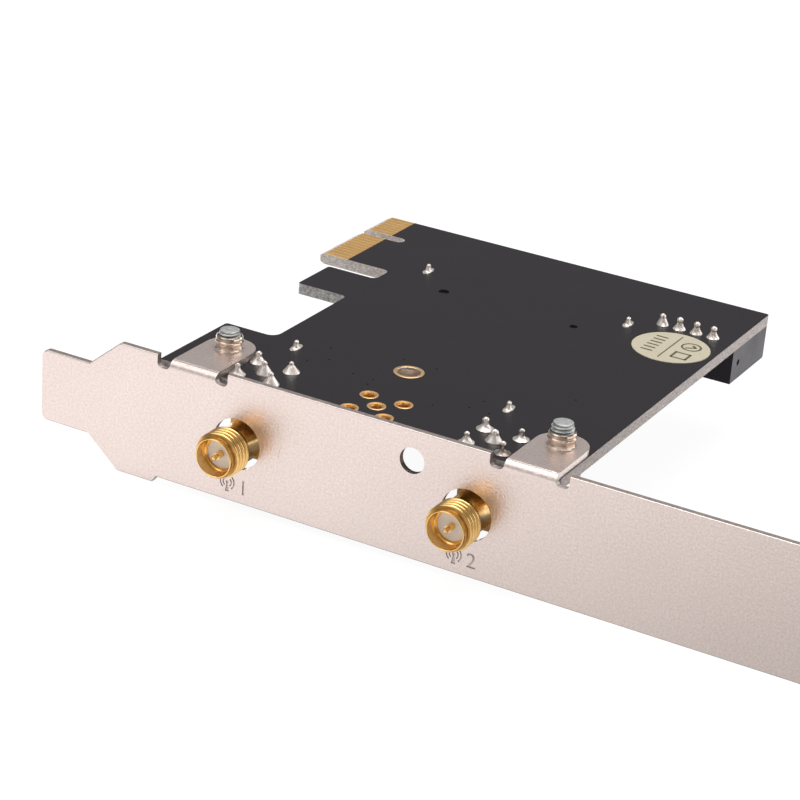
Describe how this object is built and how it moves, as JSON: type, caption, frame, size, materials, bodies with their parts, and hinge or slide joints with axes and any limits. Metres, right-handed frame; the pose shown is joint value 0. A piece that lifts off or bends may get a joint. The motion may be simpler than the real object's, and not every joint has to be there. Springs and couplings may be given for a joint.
{
  "type": "desktop wireless network card",
  "caption": "Expansion card with a notched board on a folded steel bracket, threaded antenna jacks, a covered radio module and a side-entry cable header.",
  "frame": {"origin": "tip of the bracket's tongue, mid-width, on the bracket's outer face", "axes": "+X along the bracket towards its screw tab, +Y into the computer, +Z out of the board's solder side"},
  "size_m": [0.12, 0.0811, 0.0216],
  "materials": {
    "bracket_steel": "nickel plated, fine satin",
    "board_laminate": "black solder mask, semi-matt",
    "contact_gold": "gold plated, satin",
    "jack_gold": "gold plated, polished",
    "insulator_white": "natural fluoropolymer",
    "solder": "bright solder",
    "pad_gold": "immersion gold",
    "screw_zinc": "zinc plated",
    "module_laminate": "green solder mask",
    "tin_plate": "tin plated sheet",
    "connector_black": "moulded, matt",
    "pin_tin": "tin plated",
    "capacitor_tan": "fired ceramic",
    "resistor_black": "glazed ceramic",
    "tantalum_yellow": "moulded, matt",
    "fuse_green": "coated",
    "sticker_paper": "matt paper"
  },
  "bodies": {
    "root": {"bracket": "bracket_steel", "circuit_board": "board_laminate", "edge_contacts_solder_side": "contact_gold", "edge_contacts_component_side": "contact_gold", "antenna_jack_left_body": "jack_gold", "antenna_jack_right_body": "jack_gold", "antenna_jack_left_insulator": "insulator_white", "antenna_jack_right_insulator": "insulator_white", "antenna_jack_left_pin": "jack_gold", "antenna_jack_right_pin": "jack_gold", "jack_solder_joints": "solder", "spare_antenna_pads": "pad_gold", "bracket_screws": "screw_zinc", "standoff_pad": "pad_gold", "module_standoff": "screw_zinc", "module_screw": "screw_zinc", "module_board": "module_laminate", "module_shield": "tin_plate", "module_antenna_sockets": "contact_gold", "board_antenna_sockets": "contact_gold", "module_socket_housing": "connector_black", "module_socket_contacts": "contact_gold", "module_cover": "tin_plate", "cover_solder_joints": "solder", "header_housing": "connector_black", "header_pins": "pin_tin", "header_solder_joints": "solder", "chip_capacitors": "capacitor_tan", "chip_resistors": "resistor_black", "bulk_capacitors": "tantalum_yellow", "resettable_fuse": "fuse_green", "inspection_sticker": "sticker_paper"}
  },
  "joints": []
}
